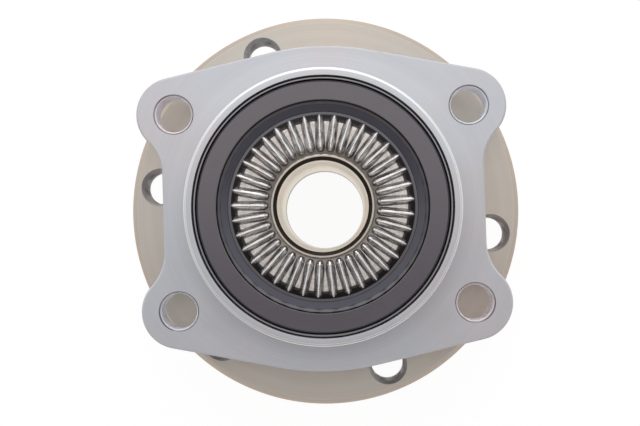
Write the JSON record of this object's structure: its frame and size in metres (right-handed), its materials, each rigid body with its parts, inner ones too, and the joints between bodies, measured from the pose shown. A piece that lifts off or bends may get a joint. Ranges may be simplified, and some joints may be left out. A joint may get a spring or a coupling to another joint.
{
  "type": "driven wheel hub bearing unit",
  "caption": "Driven wheel hub bearing unit: eared knuckle flange, round drilled wheel flange, sealed ball bearing and a face spline on its rolled collar.",
  "frame": {"origin": "on the hub's axis, in the plane of the wheel mounting face", "axes": "+Z along the hub's axis towards the car (inboard), +X along the longer spacing of the knuckle flange's ear holes, +Y along the shorter"},
  "size_m": [0.151, 0.151, 0.089],
  "materials": {
    "turned_ring_steel": "finely turned satin steel",
    "spindle_steel": "warm satin forged and turned steel",
    "bearing_steel": "ground steel",
    "ball_steel": "polished bearing steel",
    "case_steel": "pressed sheet",
    "slinger_steel": "dark stainless sheet",
    "seal_rubber": "matt",
    "encoder_rubber": "smooth satin",
    "cage_polymer": "glass-filled nylon"
  },
  "bodies": {
    "outer": {"outer_ring": "turned_ring_steel", "outboard_seal_case": "case_steel", "outboard_seal_lips": "seal_rubber", "inboard_seal_case": "case_steel", "inboard_seal_lips": "seal_rubber"},
    "hub": {"hub_flange": "spindle_steel", "inner_ring": "bearing_steel", "slinger": "slinger_steel", "encoder_ring": "encoder_rubber"},
    "outboard_cage": {"outboard_cage": "cage_polymer"},
    "inboard_cage": {"inboard_cage": "cage_polymer"},
    "outboard_ball_1": {"outboard_ball_1": "ball_steel"},
    "outboard_ball_2": {"outboard_ball_2": "ball_steel"},
    "outboard_ball_3": {"outboard_ball_3": "ball_steel"},
    "outboard_ball_4": {"outboard_ball_4": "ball_steel"},
    "outboard_ball_5": {"outboard_ball_5": "ball_steel"},
    "outboard_ball_6": {"outboard_ball_6": "ball_steel"},
    "outboard_ball_7": {"outboard_ball_7": "ball_steel"},
    "outboard_ball_8": {"outboard_ball_8": "ball_steel"},
    "outboard_ball_9": {"outboard_ball_9": "ball_steel"},
    "outboard_ball_10": {"outboard_ball_10": "ball_steel"},
    "outboard_ball_11": {"outboard_ball_11": "ball_steel"},
    "outboard_ball_12": {"outboard_ball_12": "ball_steel"},
    "outboard_ball_13": {"outboard_ball_13": "ball_steel"},
    "outboard_ball_14": {"outboard_ball_14": "ball_steel"},
    "outboard_ball_15": {"outboard_ball_15": "ball_steel"},
    "outboard_ball_16": {"outboard_ball_16": "ball_steel"},
    "inboard_ball_1": {"inboard_ball_1": "ball_steel"},
    "inboard_ball_2": {"inboard_ball_2": "ball_steel"},
    "inboard_ball_3": {"inboard_ball_3": "ball_steel"},
    "inboard_ball_4": {"inboard_ball_4": "ball_steel"},
    "inboard_ball_5": {"inboard_ball_5": "ball_steel"},
    "inboard_ball_6": {"inboard_ball_6": "ball_steel"},
    "inboard_ball_7": {"inboard_ball_7": "ball_steel"},
    "inboard_ball_8": {"inboard_ball_8": "ball_steel"},
    "inboard_ball_9": {"inboard_ball_9": "ball_steel"},
    "inboard_ball_10": {"inboard_ball_10": "ball_steel"},
    "inboard_ball_11": {"inboard_ball_11": "ball_steel"},
    "inboard_ball_12": {"inboard_ball_12": "ball_steel"},
    "inboard_ball_13": {"inboard_ball_13": "ball_steel"},
    "inboard_ball_14": {"inboard_ball_14": "ball_steel"},
    "inboard_ball_15": {"inboard_ball_15": "ball_steel"},
    "inboard_ball_16": {"inboard_ball_16": "ball_steel"}
  },
  "joints": [
    {"name": "hub_spin", "type": "hinge", "parent": "outer", "child": "hub", "pos_m": [0, 0, 0], "axis": [0, 0, 1], "continuous": true},
    {"name": "outboard_cage_spin", "type": "hinge", "parent": "outer", "child": "outboard_cage", "pos_m": [0, 0, 0.03155], "axis": [0, 0, 1], "continuous": true},
    {"name": "outboard_ball_1_spin", "type": "hinge", "parent": "outboard_cage", "child": "outboard_ball_1", "pos_m": [0.03629, 0.00722, 0.03155], "axis": [-0.6038, -0.1201, 0.788], "continuous": true},
    {"name": "outboard_ball_2_spin", "type": "hinge", "parent": "outboard_cage", "child": "outboard_ball_2", "pos_m": [0.03076, 0.02056, 0.03155], "axis": [-0.5119, -0.342, 0.788], "continuous": true},
    {"name": "outboard_ball_3_spin", "type": "hinge", "parent": "outboard_cage", "child": "outboard_ball_3", "pos_m": [0.02056, 0.03076, 0.03155], "axis": [-0.342, -0.5119, 0.788], "continuous": true},
    {"name": "outboard_ball_4_spin", "type": "hinge", "parent": "outboard_cage", "child": "outboard_ball_4", "pos_m": [0.00722, 0.03629, 0.03155], "axis": [-0.1201, -0.6038, 0.788], "continuous": true},
    {"name": "outboard_ball_5_spin", "type": "hinge", "parent": "outboard_cage", "child": "outboard_ball_5", "pos_m": [-0.00722, 0.03629, 0.03155], "axis": [0.1201, -0.6038, 0.788], "continuous": true},
    {"name": "outboard_ball_6_spin", "type": "hinge", "parent": "outboard_cage", "child": "outboard_ball_6", "pos_m": [-0.02056, 0.03076, 0.03155], "axis": [0.342, -0.5119, 0.788], "continuous": true},
    {"name": "outboard_ball_7_spin", "type": "hinge", "parent": "outboard_cage", "child": "outboard_ball_7", "pos_m": [-0.03076, 0.02056, 0.03155], "axis": [0.5119, -0.342, 0.788], "continuous": true},
    {"name": "outboard_ball_8_spin", "type": "hinge", "parent": "outboard_cage", "child": "outboard_ball_8", "pos_m": [-0.03629, 0.00722, 0.03155], "axis": [0.6038, -0.1201, 0.788], "continuous": true},
    {"name": "outboard_ball_9_spin", "type": "hinge", "parent": "outboard_cage", "child": "outboard_ball_9", "pos_m": [-0.03629, -0.00722, 0.03155], "axis": [0.6038, 0.1201, 0.788], "continuous": true},
    {"name": "outboard_ball_10_spin", "type": "hinge", "parent": "outboard_cage", "child": "outboard_ball_10", "pos_m": [-0.03076, -0.02056, 0.03155], "axis": [0.5119, 0.342, 0.788], "continuous": true},
    {"name": "outboard_ball_11_spin", "type": "hinge", "parent": "outboard_cage", "child": "outboard_ball_11", "pos_m": [-0.02056, -0.03076, 0.03155], "axis": [0.342, 0.5119, 0.788], "continuous": true},
    {"name": "outboard_ball_12_spin", "type": "hinge", "parent": "outboard_cage", "child": "outboard_ball_12", "pos_m": [-0.00722, -0.03629, 0.03155], "axis": [0.1201, 0.6038, 0.788], "continuous": true},
    {"name": "outboard_ball_13_spin", "type": "hinge", "parent": "outboard_cage", "child": "outboard_ball_13", "pos_m": [0.00722, -0.03629, 0.03155], "axis": [-0.1201, 0.6038, 0.788], "continuous": true},
    {"name": "outboard_ball_14_spin", "type": "hinge", "parent": "outboard_cage", "child": "outboard_ball_14", "pos_m": [0.02056, -0.03076, 0.03155], "axis": [-0.342, 0.5119, 0.788], "continuous": true},
    {"name": "outboard_ball_15_spin", "type": "hinge", "parent": "outboard_cage", "child": "outboard_ball_15", "pos_m": [0.03076, -0.02056, 0.03155], "axis": [-0.5119, 0.342, 0.788], "continuous": true},
    {"name": "outboard_ball_16_spin", "type": "hinge", "parent": "outboard_cage", "child": "outboard_ball_16", "pos_m": [0.03629, -0.00722, 0.03155], "axis": [-0.6038, 0.1201, 0.788], "continuous": true},
    {"name": "inboard_cage_spin", "type": "hinge", "parent": "outer", "child": "inboard_cage", "pos_m": [0, 0, 0.05715], "axis": [0, 0, 1], "continuous": true},
    {"name": "inboard_ball_1_spin", "type": "hinge", "parent": "inboard_cage", "child": "inboard_ball_1", "pos_m": [0.03629, 0.00722, 0.05715], "axis": [0.6038, 0.1201, 0.788], "continuous": true},
    {"name": "inboard_ball_2_spin", "type": "hinge", "parent": "inboard_cage", "child": "inboard_ball_2", "pos_m": [0.03076, 0.02056, 0.05715], "axis": [0.5119, 0.342, 0.788], "continuous": true},
    {"name": "inboard_ball_3_spin", "type": "hinge", "parent": "inboard_cage", "child": "inboard_ball_3", "pos_m": [0.02056, 0.03076, 0.05715], "axis": [0.342, 0.5119, 0.788], "continuous": true},
    {"name": "inboard_ball_4_spin", "type": "hinge", "parent": "inboard_cage", "child": "inboard_ball_4", "pos_m": [0.00722, 0.03629, 0.05715], "axis": [0.1201, 0.6038, 0.788], "continuous": true},
    {"name": "inboard_ball_5_spin", "type": "hinge", "parent": "inboard_cage", "child": "inboard_ball_5", "pos_m": [-0.00722, 0.03629, 0.05715], "axis": [-0.1201, 0.6038, 0.788], "continuous": true},
    {"name": "inboard_ball_6_spin", "type": "hinge", "parent": "inboard_cage", "child": "inboard_ball_6", "pos_m": [-0.02056, 0.03076, 0.05715], "axis": [-0.342, 0.5119, 0.788], "continuous": true},
    {"name": "inboard_ball_7_spin", "type": "hinge", "parent": "inboard_cage", "child": "inboard_ball_7", "pos_m": [-0.03076, 0.02056, 0.05715], "axis": [-0.5119, 0.342, 0.788], "continuous": true},
    {"name": "inboard_ball_8_spin", "type": "hinge", "parent": "inboard_cage", "child": "inboard_ball_8", "pos_m": [-0.03629, 0.00722, 0.05715], "axis": [-0.6038, 0.1201, 0.788], "continuous": true},
    {"name": "inboard_ball_9_spin", "type": "hinge", "parent": "inboard_cage", "child": "inboard_ball_9", "pos_m": [-0.03629, -0.00722, 0.05715], "axis": [-0.6038, -0.1201, 0.788], "continuous": true},
    {"name": "inboard_ball_10_spin", "type": "hinge", "parent": "inboard_cage", "child": "inboard_ball_10", "pos_m": [-0.03076, -0.02056, 0.05715], "axis": [-0.5119, -0.342, 0.788], "continuous": true},
    {"name": "inboard_ball_11_spin", "type": "hinge", "parent": "inboard_cage", "child": "inboard_ball_11", "pos_m": [-0.02056, -0.03076, 0.05715], "axis": [-0.342, -0.5119, 0.788], "continuous": true},
    {"name": "inboard_ball_12_spin", "type": "hinge", "parent": "inboard_cage", "child": "inboard_ball_12", "pos_m": [-0.00722, -0.03629, 0.05715], "axis": [-0.1201, -0.6038, 0.788], "continuous": true},
    {"name": "inboard_ball_13_spin", "type": "hinge", "parent": "inboard_cage", "child": "inboard_ball_13", "pos_m": [0.00722, -0.03629, 0.05715], "axis": [0.1201, -0.6038, 0.788], "continuous": true},
    {"name": "inboard_ball_14_spin", "type": "hinge", "parent": "inboard_cage", "child": "inboard_ball_14", "pos_m": [0.02056, -0.03076, 0.05715], "axis": [0.342, -0.5119, 0.788], "continuous": true},
    {"name": "inboard_ball_15_spin", "type": "hinge", "parent": "inboard_cage", "child": "inboard_ball_15", "pos_m": [0.03076, -0.02056, 0.05715], "axis": [0.5119, -0.342, 0.788], "continuous": true},
    {"name": "inboard_ball_16_spin", "type": "hinge", "parent": "inboard_cage", "child": "inboard_ball_16", "pos_m": [0.03629, -0.00722, 0.05715], "axis": [0.6038, -0.1201, 0.788], "continuous": true}
  ],
  "couplings": [
    {"joint": "outboard_cage_spin", "follows": "hub_spin", "ratio": 0.43238},
    {"joint": "outboard_ball_1_spin", "follows": "hub_spin", "ratio": -2.8601},
    {"joint": "outboard_ball_2_spin", "follows": "hub_spin", "ratio": -2.8601},
    {"joint": "outboard_ball_3_spin", "follows": "hub_spin", "ratio": -2.8601},
    {"joint": "outboard_ball_4_spin", "follows": "hub_spin", "ratio": -2.8601},
    {"joint": "outboard_ball_5_spin", "follows": "hub_spin", "ratio": -2.8601},
    {"joint": "outboard_ball_6_spin", "follows": "hub_spin", "ratio": -2.8601},
    {"joint": "outboard_ball_7_spin", "follows": "hub_spin", "ratio": -2.8601},
    {"joint": "outboard_ball_8_spin", "follows": "hub_spin", "ratio": -2.8601},
    {"joint": "outboard_ball_9_spin", "follows": "hub_spin", "ratio": -2.8601},
    {"joint": "outboard_ball_10_spin", "follows": "hub_spin", "ratio": -2.8601},
    {"joint": "outboard_ball_11_spin", "follows": "hub_spin", "ratio": -2.8601},
    {"joint": "outboard_ball_12_spin", "follows": "hub_spin", "ratio": -2.8601},
    {"joint": "outboard_ball_13_spin", "follows": "hub_spin", "ratio": -2.8601},
    {"joint": "outboard_ball_14_spin", "follows": "hub_spin", "ratio": -2.8601},
    {"joint": "outboard_ball_15_spin", "follows": "hub_spin", "ratio": -2.8601},
    {"joint": "outboard_ball_16_spin", "follows": "hub_spin", "ratio": -2.8601},
    {"joint": "inboard_cage_spin", "follows": "hub_spin", "ratio": 0.43238},
    {"joint": "inboard_ball_1_spin", "follows": "hub_spin", "ratio": -2.8601},
    {"joint": "inboard_ball_2_spin", "follows": "hub_spin", "ratio": -2.8601},
    {"joint": "inboard_ball_3_spin", "follows": "hub_spin", "ratio": -2.8601},
    {"joint": "inboard_ball_4_spin", "follows": "hub_spin", "ratio": -2.8601},
    {"joint": "inboard_ball_5_spin", "follows": "hub_spin", "ratio": -2.8601},
    {"joint": "inboard_ball_6_spin", "follows": "hub_spin", "ratio": -2.8601},
    {"joint": "inboard_ball_7_spin", "follows": "hub_spin", "ratio": -2.8601},
    {"joint": "inboard_ball_8_spin", "follows": "hub_spin", "ratio": -2.8601},
    {"joint": "inboard_ball_9_spin", "follows": "hub_spin", "ratio": -2.8601},
    {"joint": "inboard_ball_10_spin", "follows": "hub_spin", "ratio": -2.8601},
    {"joint": "inboard_ball_11_spin", "follows": "hub_spin", "ratio": -2.8601},
    {"joint": "inboard_ball_12_spin", "follows": "hub_spin", "ratio": -2.8601},
    {"joint": "inboard_ball_13_spin", "follows": "hub_spin", "ratio": -2.8601},
    {"joint": "inboard_ball_14_spin", "follows": "hub_spin", "ratio": -2.8601},
    {"joint": "inboard_ball_15_spin", "follows": "hub_spin", "ratio": -2.8601},
    {"joint": "inboard_ball_16_spin", "follows": "hub_spin", "ratio": -2.8601}
  ]
}
